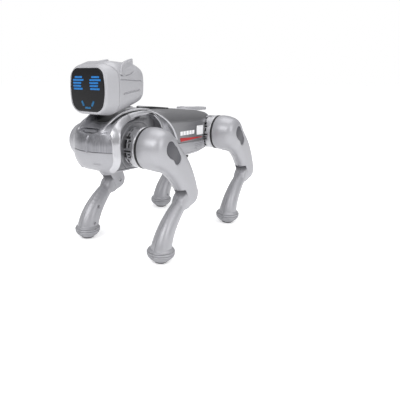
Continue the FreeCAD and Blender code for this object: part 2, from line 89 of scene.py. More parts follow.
def soft_min(radius, *fields):
    """The union of forms, with its inner corners filled."""
    return -soft_max(radius, *(-field for field in fields))


def smooth_path(points, closed=False, rounds=2):
    """The path with its corners cut, as many times over as rounds says."""
    points = np.array(points, float)
    for _ in range(rounds):
        here = points if closed else points[:-1]
        there = np.roll(points, -1, axis=0) if closed else points[1:]
        cut = np.stack([0.75 * here + 0.25 * there, 0.25 * here + 0.75 * there], axis=1)
        cut = cut.reshape(-1, points.shape[1])
        points = cut if closed else np.vstack([points[:1], cut[1:-1], points[-1:]])
    return points


def path_distance(points, *where, thickness=None):
    """Distance to a path of straight pieces, less a thickness that may change from point to point."""
    best = None
    for index in range(len(points) - 1):
        start, along = points[index], points[index + 1] - points[index]
        share = sum((w - s) * a for w, s, a in zip(where, start, along)) / max(along @ along, 1e-9)
        share = np.clip(share, 0, 1)
        reach = sum((w - s - share * a) ** 2 for w, s, a in zip(where, start, along))
        if thickness is not None:
            width = thickness[index] + share * (thickness[index + 1] - thickness[index])
            reach = np.sqrt(reach) - width
        best = reach if best is None else np.minimum(best, reach)
    return best if thickness is not None else np.sqrt(best)


def region(points, u, v):
    """Distance to a closed outline, negative inside it."""
    closed = np.vstack([points, points[:1]])
    inside = np.zeros(np.broadcast(u, v).shape, bool)
    for (u0, v0), (u1, v1) in zip(closed[:-1], closed[1:]):
        if v0 != v1:
            inside ^= ((v0 > v) != (v1 > v)) & (u < u0 + (v - v0) * (u1 - u0) / (v1 - v0))
    return path_distance(closed, u, v) * np.where(inside, -1, 1)


def rounded_box(half, radius, *where):
    """Distance to a box centred on zero, or to a rectangle."""
    out = [np.abs(w) - h + radius for w, h in zip(where, half)]
    inner = np.minimum(np.maximum.reduce([o + 0 * sum(out) for o in out]), 0)
    return np.sqrt(sum(np.maximum(o, 0) ** 2 for o in out)) + inner - radius


def engrave(field, shape, depth, edge=0.5):
    """The field with its surface lowered by depth where shape is negative."""
    return field + depth * np.clip(0.5 - shape / (2 * edge), 0, 1)


def carve(field, skin, shape, depth, edge=0.5):
    """A thin shell with its outer face lowered by depth where shape is negative."""
    return np.maximum(field, skin + depth * np.clip(0.5 - shape / (2 * edge), 0, 1))


# ---------------------------------------------------------------- meshes
CORNERS = np.array([(i, j, k) for i in (0, 1) for j in (0, 1) for k in (0, 1)])
CELL_EDGES = [(a, b) for a in range(8) for b in range(a + 1, 8)
              if np.abs(CORNERS[a] - CORNERS[b]).sum() == 1]


def gradient(field, points, reach):
    """The slope of a field at each point, from its values at plus and minus reach."""
    slopes = []
    for axis in range(3):
        step = np.zeros(3)
        step[axis] = reach
        slopes.append((field(*(points + step).T) - field(*(points - step).T)) / (2 * reach))
    return np.stack(slopes, axis=1)


def surface_points(field, low, high, step):
    """Vertices, quads and normals of the surface where the field is zero, between two corners."""
    axes = [np.arange(a - 2 * step, b + 3 * step, step) for a, b in zip(low, high)]
    value = field(*np.meshgrid(*axes, indexing="ij", sparse=True))
    inside = value < 0
    count = [size - 1 for size in inside.shape]
    full = sum(inside[i:i + count[0], j:j + count[1], k:k + count[2]].astype(np.int8)
               for i, j, k in CORNERS)
    cells = np.argwhere((full > 0) & (full < 8))
    index = np.full(count, -1)
    index[tuple(cells.T)] = np.arange(len(cells))

    at_corner = [value[tuple((cells + corner).T)] for corner in CORNERS]
    total, hits = np.zeros((len(cells), 3)), np.zeros(len(cells))
    for a, b in CELL_EDGES:
        crossed = (at_corner[a] < 0) != (at_corner[b] < 0)
        gap = np.where(crossed, at_corner[a] - at_corner[b], 1)
        share = np.where(crossed, at_corner[a] / gap, 0)
        point = CORNERS[a] + share[:, None] * (CORNERS[b] - CORNERS[a])
        total += point * crossed[:, None]
        hits += crossed
    start = np.array([axis[0] for axis in axes])
    points = start + step * (cells + total / hits[:, None])
    for _ in range(2):
        slope = gradient(field, points, 0.2 * step)
        move = field(*points.T) / np.maximum((slope ** 2).sum(1), 0.05)
        move = -slope * move[:, None]
        length = np.linalg.norm(move, axis=1, keepdims=True)
        points = points + move * np.minimum(1, 0.4 * step / np.maximum(length, 1e-9))

    quads = []
    for axis in range(3):
        second, third = np.eye(3, dtype=int)[(axis + 1) % 3], np.eye(3, dtype=int)[(axis + 2) % 3]
        before = np.take(inside, range(inside.shape[axis] - 1), axis)
        after = np.take(inside, range(1, inside.shape[axis]), axis)
        at = np.argwhere(before != after)
        around = [at - second - third, at - third, at, at - second]
        quad = np.stack([index[tuple(corner.T)] for corner in around], axis=1)
        outward = before[tuple(at.T)]
        quads.append(np.where(outward[:, None], quad, quad[:, ::-1]))
    normals = gradient(field, points, 0.35 * step)
    normals /= np.maximum(np.linalg.norm(normals, axis=1, keepdims=True), 1e-9)
    return points, np.concatenate(quads), normals


def add_mesh(name, points, quads, normals=None):
    """A smooth-shaded object from points in millimetres."""
    mesh = bpy.data.meshes.new(name)
    mesh.from_pydata((points * MM).tolist(), [], quads.tolist())
    mesh.shade_smooth()
    if normals is not None:
        mesh.normals_split_custom_set_from_vertices(normals.tolist())
    item = bpy.data.objects.new(name, mesh)
    bpy.context.scene.collection.objects.link(item)
    return item


def finish_piece(item, finish, body, nodes):
    """Give a piece its finish, and the CAD body and nodes it belongs to."""
    item.data.materials.clear()
    item.data.materials.append(finish)
    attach(item, body)
    if nodes:
        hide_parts(*nodes)


def piece(name, field, low, high, step, finish, body, nodes):
    """One piece meshed from its field, between the corners low and high."""
    item = add_mesh(name, *surface_points(field, low, high, step * COARSE))
    finish_piece(item, finish, body, nodes)


SIDES = ("left", "right")
ENDS = ("front", "rear")


def side_pieces(name, field, low, high, step, finish, bodies, nodes, slot, shifts=(0,)):
    """Left pieces meshed once, then mirrored to the right side and repeated along the dog.

    bodies and nodes are functions of (end, side).
    """
    points, quads, normals = surface_points(field, low, high, step * COARSE)
    mirror = np.array([-1, 1, 1])
    for side in SIDES:
        flip = side == "right"
        here = points * mirror if flip else points
        faces = quads[:, ::-1] if flip else quads
        toward = normals * mirror if flip else normals
        first = add_mesh(f"{name}_{side}_mesh", here, faces, toward)
        for end, shift in zip(ENDS, shifts):
            label = f"{name}_{end}_{side}" if len(shifts) > 1 else f"{name}_{side}"
            item = first if end == ENDS[0] else bpy.data.objects.new(label, first.data)
            item.name = label
            if item is not first:
                bpy.context.scene.collection.objects.link(item)
            item.location.y = shift * MM
            finish_piece(item, finish, bodies(end, side), nodes(end, side))


# ---------------------------------------------------------------- finishes
def shaded(name, colour, roughness, metallic=0.0, stretch=(1, 1, 1), scale=900, mottle=0.04,
           rough_span=0.08, bump=0.04, coat=0.0, glow=0.0, shine=0.5):
    """A finish whose colour, gloss and relief follow one noise; stretch makes it a brushed grain."""
    finish = bpy.data.materials.new(name)
    finish.use_nodes = True
    nodes, links = finish.node_tree.nodes, finish.node_tree.links
    shader = nodes["Principled BSDF"]
    where = nodes.new("ShaderNodeTexCoord")
    mapping = nodes.new("ShaderNodeMapping")
    mapping.inputs["Scale"].default_value = stretch
    links.new(where.outputs["Object"], mapping.inputs["Vector"])
    noise = nodes.new("ShaderNodeTexNoise")
    noise.inputs["Scale"].default_value = scale
    noise.inputs["Detail"].default_value = 4
    links.new(mapping.outputs["Vector"], noise.inputs["Vector"])
    paint = nodes.new("ShaderNodeVectorMath")
    paint.operation = "SCALE"
    paint.inputs[0].default_value = colour
    for low, high, target in ((1 - mottle, 1 + mottle, paint.inputs["Scale"]),
                              (max(roughness - rough_span, 0.02), roughness + rough_span,
                               shader.inputs["Roughness"])):
        spread = nodes.new("ShaderNodeMapRange")
        spread.inputs["From Min"].default_value, spread.inputs["From Max"].default_value = 0.3, 0.7
        spread.inputs["To Min"].default_value, spread.inputs["To Max"].default_value = low, high
        links.new(noise.outputs["Fac"], spread.inputs["Value"])
        links.new(spread.outputs["Result"], target)
    links.new(paint.outputs["Vector"], shader.inputs["Base Color"])
    relief = nodes.new("ShaderNodeBump")
    relief.inputs["Strength"].default_value = bump
    relief.inputs["Distance"].default_value = 0.0001
    links.new(noise.outputs["Fac"], relief.inputs["Height"])
    links.new(relief.outputs["Normal"], shader.inputs["Normal"])
    shader.inputs["Metallic"].default_value = metallic
    shader.inputs["Specular IOR Level"].default_value = shine
    shader.inputs["Coat Weight"].default_value = coat
    shader.inputs["Coat Roughness"].default_value = 0.12
    if glow:
        links.new(paint.outputs["Vector"], shader.inputs["Emission Color"])
        shader.inputs["Emission Strength"].default_value = glow
    return finish


UPRIGHT_GRAIN = (1, 1, 0.02)
LONG_GRAIN = (1, 0.02, 1)
HEAD_GREY = shaded("head_plastic", (0.42, 0.42, 0.44), 0.45, 0.2)
LEG_GREY = shaded("leg_plastic", (0.39, 0.39, 0.41), 0.40, 0.4)
CHEST_SILVER = shaded("chest_silver", (0.36, 0.36, 0.38), 0.38, 0.5)
FLANK_SILVER = shaded("flank_silver", (0.36, 0.36, 0.38), 0.38, 0.6, LONG_GRAIN, 1200, 0.05, 0.05, 0.03)
DARK_BRUSHED = shaded("dark_brushed", (0.29, 0.29, 0.31), 0.36, 0.9, UPRIGHT_GRAIN, 900, 0.22, 0.06, 0.05)
DARK_BACK = shaded("dark_back", (0.27, 0.27, 0.28), 0.36, 0.9, LONG_GRAIN, 1200, 0.06, 0.05, 0.03)
CHROME = shaded("bright_trim", (0.50, 0.50, 0.52), 0.32, 0.9, UPRIGHT_GRAIN, 1400, 0.04, 0.04, 0.01)
HIP_SILVER = shaded("hip_silver", (0.58, 0.58, 0.60), 0.36, 0.85)
RECESS = shaded("recess_grey", (0.22, 0.22, 0.23), 0.42, 0.8, UPRIGHT_GRAIN, 900, 0.15, 0.06, 0.05)
PAD_GREY = shaded("pad_grey", (0.42, 0.42, 0.44), 0.36, 0.6, LONG_GRAIN, 600, 0.05)
RUBBER = shaded("black_rubber", (0.012, 0.012, 0.013), 0.6, scale=1500, bump=0.15)
SOLE = shaded("sole_rubber", (0.05, 0.05, 0.055), 0.7, scale=1200, bump=0.3)
INLAY = shaded("inlay_grey", (0.075, 0.075, 0.085), 0.5, 0.2, scale=2600, mottle=0.2, bump=0.25)
GLASS = shaded("black_screen", (0.012, 0.012, 0.013), 0.14, scale=600, mottle=0.02, rough_span=0.02,
               bump=0.01, shine=0.22)
LIGHT_BAR = shaded("blue_light", (0.002, 0.12, 0.36), 0.6, glow=0.3, mottle=0.35, scale=900)
DIM_BAR = shaded("dim_blue_light", (0.003, 0.085, 0.20), 0.6, glow=0.25, mottle=0.35, scale=900)
# pale silver of the neck collar; also the painted highlight under the tail
PALE_SILVER_AND_HIGHLIGHT = shaded("pale_silver_and_painted_highlight", (0.86, 0.86, 0.88), 0.42, 0.25, LONG_GRAIN, 1200, 0.03)
RED = shaded("red_paint", (0.42, 0.008, 0.012), 0.55, scale=1200)
WHITE = shaded("white_paint", (0.85, 0.85, 0.86), 0.4, scale=1200)
STEEL = shaded("turned_steel", (0.55, 0.55, 0.57), 0.3, 1.0, scale=1500, bump=0.1)
BLACK = shaded("black_plastic", (0.02, 0.02, 0.022), 0.45, scale=1400, bump=0.15)
BOARD = shaded("green_board", (0.02, 0.14, 0.05), 0.4, scale=500, mottle=0.3)
FRAME_GREY = shaded("frame_plastic", (0.33, 0.34, 0.36), 0.5, scale=1400, bump=0.15)
BATTERY = shaded("battery_wrap", (0.03, 0.08, 0.33), 0.3, scale=900, coat=0.3)

# ---------------------------------------------------------------- torso form
NOSE = span("chest_lower_shell", "y")[0]
RUMP = span("rear_end_cap", "y")[1]
# place along the dog, half width, underside, top, corner radius
STATIONS = np.array([(NOSE, 18, 141, 172, 14), (NOSE + 7, 31.5, 129.5, 180.5, 21),
                     (NOSE + 19, 43, 123, 187, 23), (-50, 42, 120, 199.5, 21),
                     (15, 40, 119.5, 194.8, 20), (55, 38, 119, 191.2, 20),
                     (RUMP, 32, 123, 184.5, 18)], float)


def smoothed(stations, sigma):
    """The stations as a fine table along the dog, with soft corners."""
    run = np.arange(stations[0, 0] - 12, stations[-1, 0] + 12, 0.5)
    pad = round(8 * sigma)
    weight = np.exp(-0.5 * (0.5 * np.arange(-pad, pad + 1) / sigma) ** 2)
    weight /= weight.sum()
    table = [run]
    for column in stations.T[1:]:
        values = np.interp(run, stations[:, 0], column)
        values = np.concatenate([np.full(pad, values[0]), values, np.full(pad, values[-1])])
        table.append(np.convolve(values, weight, "valid"))
    return np.array(table)


def sections(table, x, y, z, bow=0.0):
    """Distance to a form through rounded-rectangle sections; bow makes the sides bulge."""
    half, low, high, corner = (np.interp(y, table[0], column) for column in table[1:])
    slope = np.interp(y, table[0], np.gradient(table[1], table[0]))
    tall = (high - low) / 2
    level = z - (low + high) / 2
    side = np.abs(x) - half * (1 - bow * (level / tall) ** 2) + corner
    rise = np.abs(level) - tall + corner
    ring = np.hypot(np.maximum(side, 0), np.maximum(rise, 0)) + np.minimum(np.maximum(side, rise), 0)
    return (ring - corner) / np.sqrt(1 + slope ** 2)


TORSO_TABLE = smoothed(STATIONS, 3.0)
# the two shoulder ridges over each front hip, as paths of (across, along, up)
INNER_RIDGE = smooth_path([(18.5, -151, 175), (20, -145, 180), (20.5, -139.5, 184), (21, -134, 187.5),
                           (21.5, -128, 190.7), (22.5, -122, 193.3), (24, -115.5, 195), (26, -109, 196.3),
                           (28.5, -101.5, 197), (31, -93, 196.8), (32.7, -84, 195.6), (33, -73, 192.5),
                           (34, -63.5, 187.5), (35, -55, 181)], rounds=1)
OUTER_RIDGE = smooth_path([(12, -128, 156), (18, -134, 166), (22, -137.5, 174), (24, -138.8, 181),
                           (24.5, -136.5, 185.4), (24.5, -130, 189), (25.5, -121.5, 193)], rounds=1)


def torso(x, y, z):
    """The whole torso as one solid: its sections, rounded ends and shoulder ridges."""
    ring = sections(TORSO_TABLE, x, y, z)
    form = soft_max(9, ring, NOSE - y)
    form = soft_max(6, form, y - RUMP)
    side = np.abs(x)
    if np.min(y) > -20:
        return form
    ridge = np.minimum(path_distance(INNER_RIDGE, side, y, z) - 6,
                       path_distance(OUTER_RIDGE, side, y, z) - 5.5)
    return soft_min(8, form, ridge)


WALL = 2.4      # casing thickness
GAP = 0.16      # half of the seam between two casings
EDGE = 0.7      # rounding of casing edges
SPLIT_Z = 152.5     # between the upper and the lower chest
BELLY_Z = 127       # between the flanks and the belly
REAR_HIP_CUT = 28.8     # radius of the casing's cut round each rear hip
# outlines of each hip arch (opening and bright band) and the bright strip above it, from front to rear
OPENING = smooth_path([(-146.5, 108), (-147.2, 134), (-148.3, 160), (-147.9, 168.5), (-145.4, 175.7),
                       (-141.8, 180), (-136.5, 183.4), (-126.7, 188), (-114, 192), (-103.4, 195.6),
                       (-91.9, 197.4), (-82.5, 198), (-76.8, 196), (-70.9, 190.3), (-64.6, 183),
                       (-60.5, 174), (-58.2, 165), (-57, 150), (-57, 108)], closed=True, rounds=1)
BAND = smooth_path([(-152.6, 118), (-153.2, 134.5), (-155.2, 153.4), (-155.1, 173.8), (-152.7, 178.6),
                    (-149, 183.6), (-143.6, 188.2), (-135.9, 192.6), (-125.4, 196.6), (-112.4, 199.4),
                    (-100.9, 200.9), (-89, 200.9), (-79, 199.2), (-73.5, 195.6), (-68, 189.2),
                    (-63.6, 182), (-59.4, 174), (-56.9, 165), (-54.8, 150), (-54.6, 118)],
                   closed=True, rounds=1)
STRIP = smooth_path([(21, -157.2, 178.9), (21.5, -149.4, 184.8), (22, -144.5, 188.5), (22.5, -138.6, 192.3),
                     (23, -132.1, 195.8), (24, -125.6, 198.7), (25.5, -118.4, 200.6), (27.5, -111, 201.9),
                     (30, -103.2, 202.5), (32.5, -94.2, 202.4), (34.8, -85, 201.2), (36.6, -76, 198.6),
                     (38, -67.5, 195), (39.4, -59.5, 190.4), (41.3, -50.9, 184.8), (42, -40.2, 175.8),
                     (42, -33, 166), (42, -27, 155)])
RECESS_X = 31.0     # the plate inside the arch
ARCH_X = 28.0       # how far in the arch cuts the casing


def shell(x, y, z):
    """The hollow casing with the hip arches cut out, and its outer skin."""
    skin = torso(x, y, z)
    wall = soft_max(EDGE, skin, -skin - WALL)
    arch = soft_max(EDGE, region(OPENING, y, z), ARCH_X - np.abs(x))
    hip = soft_max(EDGE, np.hypot(y - HIP_Y - REAR_SHIFT, z - HIP_Z) - REAR_HIP_CUT, 29 - np.abs(x))
    return soft_max(EDGE, wall, -arch, -hip), skin


LEAN = math.radians(40)


def lean(y, z):
    """How far a place is behind the leaning split between chest and back."""
    return (y + 66) * math.cos(LEAN) + (z - 200) * math.sin(LEAN)


# ---------------------------------------------------------------- torso casings
NO_NODES = ()
PAD_MID = sum(span("touch_button", "y")) / 2 - 1
PAD_HALF = (span("touch_button", "x")[1] + 0.8, span("touch_button", "y")[1] - PAD_MID + 0.6)
TORSO_BODY = "torso"
CAP_Y = 88.0        # where the rear end cap meets the back
COLLAR_BORE = 13.6      # radius of the casing's hole for the neck collar
PORT_Z = 166            # height of the charging socket


def torso_piece(name, field, low, high, finish, step=0.9, nodes=None):
    """A piece on the torso, in place of the CAD node of its own name unless nodes says otherwise."""
    piece(name, field, low, high, step, finish, TORSO_BODY, [name] if nodes is None else nodes)


def neck_bore(x, y):
    return np.hypot(x, y - NECK_Y) - COLLAR_BORE


def chest_upper(x, y, z):
    form, skin = shell(x, y, z)
    form = soft_max(EDGE, form, SPLIT_Z + GAP - z, lean(y, z) + GAP, -neck_bore(x, y))
    brow = np.hypot(x / 1.65, (z - 181.5) / 0.66) - 10
    brow = soft_max(0.8, brow, z - 181, y + 140)
    form = carve(form, skin, brow, 1.8, 0.5)
    seam = np.maximum(np.abs(z - 174.2 - 0.004 * x * x) - 0.4, np.abs(x) - 31)
    form = carve(form, skin, np.maximum(seam, y + 140), 0.45, 0.4)
    ridge = 1.5 * np.exp(-(x / 1.1) ** 2) * np.clip((173.5 - z) / 4, 0, 1) * (y < -150)
    return form - ridge


def chest_lower(x, y, z):
    form, skin = shell(x, y, z)
    form = soft_max(EDGE, form, z - SPLIT_Z + GAP, lean(y, z) + GAP)
    slot = rounded_box((6.5, 1.0), 0.9, x - 13, z - 137)
    return carve(form, skin, np.maximum(slot, y + 140), 0.8, 0.4)


def flank_split(y):
    """The height where the dark back meets the light flank; it falls towards the tail."""
    return 146.1 - 0.058 * (y + 2.5)


def pad_shape(x, y, inset):
    """The oval pad on the back, seen from above."""
    return rounded_box(PAD_HALF, PAD_HALF[0], x, y - PAD_MID) + inset


def back_shell(x, y, z):
    form, skin = shell(x, y, z)
    form = soft_max(EDGE, form, flank_split(y) + GAP - z, GAP - lean(y, z), y - CAP_Y + GAP)
    form = carve(form, skin, np.maximum(pad_shape(x, y, 0), 190 - z), 1.1, 0.4)
    panel = np.abs(np.maximum(rounded_box((24, 52), 9, x, y - 28), 185 - z)) - 0.3
    return carve(form, skin, panel, 0.4, 0.3)


def flank(x, y, z):
    form, skin = shell(x, y, z)
    form = soft_max(EDGE, form, z - flank_split(y) + GAP, BELLY_Z + GAP - z, GAP - lean(y, z),
                    y - CAP_Y + GAP)
    for height in (143.2, 140.2, 137.2, 134.2, 131.2):
        line = np.maximum(np.abs(z - height + 0.05 * (y - 30)) - 0.4, np.abs(y - 56) - 26)
        form = carve(form, skin, line, 0.6, 0.35)
    return form


def hatch_form(x, y):
    """The battery hatch, seen from below."""
    return rounded_box((16.2, 32.2), 3, x, y - 36)


def belly(x, y, z):
    form = shell(x, y, z)[0]
    hatch = hatch_form(x, y)
    slot = rounded_box((2.2, 4.2), 1, x - 21, y - 34)
    return soft_max(EDGE, form, z - BELLY_Z + GAP, GAP - lean(y, z), y - CAP_Y + GAP, -hatch + GAP, -slot)


def battery_cover(x, y, z):
    form, skin = shell(x, y, z)
    form = soft_max(EDGE, form, z - BELLY_Z, hatch_form(x, y) + GAP)
    arrow = np.abs(np.abs(x) * 0.6 + y - 60) - 0.9
    form = carve(form, skin, np.maximum(arrow, np.abs(x) - 8), 0.7, 0.4)
    return carve(form, skin, np.hypot(x, y - 10) - 2.6, 1.0, 0.4)


def rear_cap(x, y, z):
    form, skin = shell(x, y, z)
    form = soft_max(EDGE, form, CAP_Y + GAP - y)
    groove = np.abs(np.hypot(x, z - 157) - 21) - 0.7
    form = carve(form, skin, groove, 0.7, 0.4)
    return soft_max(0.5, form, 4.8 - np.hypot(x, z - PORT_Z))


def recess(x, y, z):
    arch = region(OPENING, y, z)
    floor_form = soft_max(2.5, np.abs(x) - RECESS_X, torso(x, y, z) + 2.4)
    plate = np.abs(floor_form + 0.9) - 0.8
    hip_range = np.hypot(y - HIP_Y, z - HIP_Z)
    form = soft_max(0.4, plate, arch - 6, ARCH_X - 10 - np.abs(x), 6.4 - hip_range)
    return carve(form, floor_form + 0.1, np.abs(hip_range - 33.5) - 0.6, 0.5, 0.4)


def arch_trim(x, y, z):
    """The wide bright band round the hip arch, and the wall behind its inner edge."""
    form = torso(x, y, z)
    arch = region(OPENING, y, z)
    over = soft_max(0.9, np.abs(form - 0.1) - 1.0, region(BAND, y, z), -arch - 0.2, 26.5 - np.abs(x))
    wall = soft_max(0.6, np.abs(arch + 0.5) - 1.2, ARCH_X - 6 - np.abs(x), form + 0.3, -form - 13, 120 - z)
    return soft_min(0.6, over, wall)


def strip(x, y, z):
    return soft_max(0.8, path_distance(STRIP, np.abs(x), y, z) - 2.2, SPLIT_Z + 1 - z)


def strip_shadow(x, y, z):
    """A black line on the casing beside each strip, on its outer side: the painted shadow of the gap there.
    """
    line = path_distance(STRIP[5:46] + (3.0, 0.6, -2.2), np.abs(x), y, z) - 2.6
    return soft_max(0.3, np.abs(torso(x, y, z)) - 0.55, line)


def neck_hollow_and_painted_shadow(x, y, z):
    """A black sheet just proud of the casing round the neck: the dark hollow there, with the head's shadow
    painted in.
    """
    form = torso(x, y, z)
    plan = np.hypot(x / 0.86, (y + 116) / 1.2) - 21
    return soft_max(0.6, np.abs(form + 0.2) - 1.0, plan, -neck_bore(x, y), 184 - z, np.abs(x) - 18)


def painted_tail_highlight(x, y, z):
    """A bright sheet on the back under the tail: a painted highlight on the curve of the back."""
    plan = rounded_box((19, 22), 5, x, y - 60)
    return soft_max(0.5, np.abs(torso(x, y, z) + 0.3) - 0.8, plan, 180 - z)


LOW_X, HIGH_X = -47, 47
torso_piece("chest_upper_cover", chest_upper, (LOW_X, NOSE - 2, 149), (HIGH_X, -25, 205), DARK_BRUSHED)
torso_piece("chest_lower_shell", chest_lower, (LOW_X, NOSE - 2, 118), (HIGH_X, 4, 155), CHEST_SILVER)
torso_piece("back_shell", back_shell, (LOW_X, -70, 135), (HIGH_X, 90, 204), DARK_BACK)
torso_piece("flank_panels", flank, (LOW_X, -22, 122), (HIGH_X, 90, 148), FLANK_SILVER, 0.7)
torso_piece("belly_cover", belly, (LOW_X, -14, 116), (HIGH_X, 90, 129), FLANK_SILVER)
torso_piece("battery_cover", battery_cover, (-18, 2, 116), (18, 70, 129), FLANK_SILVER, 0.7)
torso_piece("rear_end_cap", rear_cap, (-38, 84, 120), (38, RUMP + 2, 194), CHEST_SILVER, 0.8)
torso_piece("recess_panels", recess, (-34, -158, 118), (34, -48, 204), RECESS, 0.7)
torso_piece("arch_trims", arch_trim, (-48, -164, 120), (48, -50, 205), CHROME, 0.8)
torso_piece("shoulder_strips", strip, (-46, -162, 150), (46, -22, 207), CHROME, 0.7, NO_NODES)
torso_piece("strip_shadows", strip_shadow, (-42, -158, 170), (42, -60, 204), BLACK, 0.7,
            NO_NODES)
# black sheet round the neck: the dark hollow, with the head's shadow painted in
torso_piece("neck_hollow_and_painted_shadow", neck_hollow_and_painted_shadow, (-20, -144, 180), (20, -78, 202), BLACK, nodes=NO_NODES)
# bright sheet under the tail: a painted highlight
torso_piece("painted_tail_highlight", painted_tail_highlight, (-20, 37, 178), (20, 84, 197), PALE_SILVER_AND_HIGHLIGHT, 0.7, NO_NODES)

# ---------------------------------------------------------------- head
FACE = span("screen_lens", "y")[0]
NAPE = span("head_rear_shell", "y")[1]
CREASE = span("head_rear_shell", "y")[0]
HEAD_BODY = "head"
BACK_OF_HEAD = NAPE + 5
HEAD_TABLE = smoothed(np.array([(FACE, 32.3, 199.5, 259, 16), (CREASE, 36.5, 197, 265, 17),
                                (-96, 31, 208, 262.5, 14), (BACK_OF_HEAD, 26, 212, 257, 12)], float), 1.4)
SCREEN_LOW, SCREEN_HIGH = span("screen_lens", "z")
SCREEN_HALF = span("screen_lens", "x")[1]
SCREEN_MID = (SCREEN_LOW + SCREEN_HIGH) / 2

# the lowest the head may reach at each distance from the neck, so it clears the shoulders as it turns
SWEEP = np.array([(34, 205.8), (37, 204), (40.5, 202), (44.5, 199.4), (50, 196), (54, 190)], float)


def head(x, y, z):
    """The whole head as one solid."""
    form = sections(HEAD_TABLE, x, y, z, 0.11)
    form = soft_max(7, soft_max(4, form, FACE - y), y - BACK_OF_HEAD)
    return soft_max(1.5, form, np.interp(np.hypot(x, y - NECK_Y), SWEEP[:, 0], SWEEP[:, 1]) - z)


def crease_at(z):
    """The line where the face shell meets the rear shell; it leans forward near the top."""
    return CREASE - 12 * np.clip((z - 247) / 16, 0, 1) ** 1.5


def screen(x, z, inset):
    """A window with full sides, square shoulders and a narrower chin."""
    tall = (SCREEN_HIGH - SCREEN_LOW) / 2 + 0.4
    level = (z - SCREEN_MID) / tall
    half = SCREEN_HALF * (1.035 - np.where(level > 0, 0.13, 0.21) * level ** 2)
    side = np.abs(x) - half + 9
    rise = np.abs(z - SCREEN_MID) - tall + 9
    inner = np.minimum(np.maximum(side, rise), 0)
    return np.hypot(np.maximum(side, 0), np.maximum(rise, 0)) + inner - 9 + inset


def head_shell(x, y, z):
    """The head as a hollow casing."""
    form = head(x, y, z)
    return soft_max(EDGE, form, -form - WALL)


def face_shell(x, y, z):
    form = soft_max(0.5, head_shell(x, y, z), y - crease_at(z) + GAP)
    window = np.maximum(screen(x, z, -0.25), y - FACE - 4)
    return soft_max(1.1, form, -window)


def rear_head(x, y, z):
    skin = head(x, y, z)
    form = soft_max(0.5, head_shell(x, y, z), crease_at(z) + GAP - y)
    side = 24 - np.abs(x)
    upper = z - 247 - 4 * np.clip((y + 124) / 15, 0, 1) ** 1.5
    middle = z - 241.5 + 0.05 * (y + 130)
    lower = z - 224.5 - 0.104 * (y + 132.7)
    for line, width, front, rear in ((upper, 0.6, -137, -108), (middle, 0.45, -138, -90),
                                     (lower, 1.0, -132.5, -96.5)):
        groove = np.maximum(np.abs(line) - width, np.abs(y - (front + rear) / 2) - (rear - front) / 2)
        form = carve(form, skin, np.maximum(groove, side), 1.4, 0.3)
    vent = np.maximum(np.abs(rounded_box((9, 14), 4, x, z - 236)) - 0.5, BACK_OF_HEAD - 6 - y)
    bore = np.maximum(np.hypot(x, y - NECK_Y) - 5.2, z - 223)
    boss = soft_max(0.6, np.hypot(x, y - NECK_Y) - 9, 205.4 - z, z - 222)
    return soft_max(0.4, soft_min(0.8, carve(form, skin, vent, 0.7, 0.4), boss), -bore)


def lens(x, y, z):
    return soft_max(1.2, screen(x, z, 0.15), FACE - 0.25 - y + 0.00035 * x * x, y - FACE - 2.2)


EAR = smooth_path([(-140, 246), (-136, 254.5), (-132, 259.5), (-126.5, 263), (-119, 265.3), (-111.5, 266.8),
                   (-104, 268.2), (-100.4, 268.6), (-100.8, 265), (-102, 259), (-103, 246)],
                  closed=True, rounds=1)


def ear(x, y, z):
    """A fin that stands on the head's upper edge and follows it inwards to the back."""
    middle = 30.2 - 0.27 * (y + 130) - 0.06 * (z - 256)
    thick = 2.6 - 0.1 * (z - 258)
    form = soft_max(1.5, region(EAR, y, z), np.abs(x - middle) - thick)
    scoop = np.maximum(region(EAR, y, z) + 2.2, middle - x)
    return soft_max(0.3, engrave(form, scoop, 0.8, 0.6), -head(x, y, z) - 1.2)


def head_piece(name, field, low, high, step, finish, nodes=None):
    """A piece on the head, in place of the CAD node of its own name unless nodes says otherwise."""
    piece(name, field, low, high, step, finish, HEAD_BODY, [name] if nodes is None else nodes)


head_piece("head_front_shell", face_shell, (-38, FACE - 1, 195), (38, CREASE + 2, 267), 0.7, HEAD_GREY)
head_piece("head_rear_shell", rear_head, (-38, CREASE - 14, 195), (38, BACK_OF_HEAD + 1, 267), 0.7, HEAD_GREY)
head_piece("screen_lens", lens, (-31, FACE - 1, 200), (31, FACE + 3, 259), 0.6, GLASS)
side_pieces("ear", ear, (16, -143, 244), (38, -98, 271), 0.5, HEAD_GREY, lambda end, side: HEAD_BODY,
            lambda end, side: ["ears"] if side == "left" else [], "silver_shell")

# light bars on the screen: (across, up, half length, lean in degrees)
EYE_ROWS = ((-14.0, 7.4, 6.6), (-14.4, 3.9, 9.4), (-16.6, 0.3, 7.4), (-16.6, -3.3, 7.0), (-15.0, -6.9, 8.0))
EYE_SHIFT = 29.6
EYE_LEVEL = 237.5
MOUTH = ((-7.4, 212.6, 3.6, -60), (10.2, 212.6, 3.6, 60), (1.4, 207.4, 5.0, 0))


def light_bar(name, across, up, half, tilt, finish):
    turn = math.radians(tilt)

    def bar(x, y, z):
        u = (x - across) * math.cos(turn) + (z - up) * math.sin(turn)
        v = (z - up) * math.cos(turn) - (x - across) * math.sin(turn)
        return rounded_box((half, 0.8, 1.45 if tilt else 1.2), 0.7, u, y - FACE + 0.2, v)
    reach = half + 1
    head_piece(name, bar, (across - reach, FACE - 1.4, up - reach), (across + reach, FACE + 1, up + reach),
               0.35, finish, NO_NODES)


for row, (across, up, half) in enumerate(EYE_ROWS):
    light_bar(f"right_eye_bar_{row}", across, EYE_LEVEL + up, half, 0, LIGHT_BAR)
    light_bar(f"left_eye_bar_{row}", across + EYE_SHIFT, EYE_LEVEL + up, half, 0, LIGHT_BAR)
for part, (across, up, half, tilt) in enumerate(MOUTH):
    light_bar(f"mouth_bar_{part}", across, up, half, tilt, DIM_BAR)


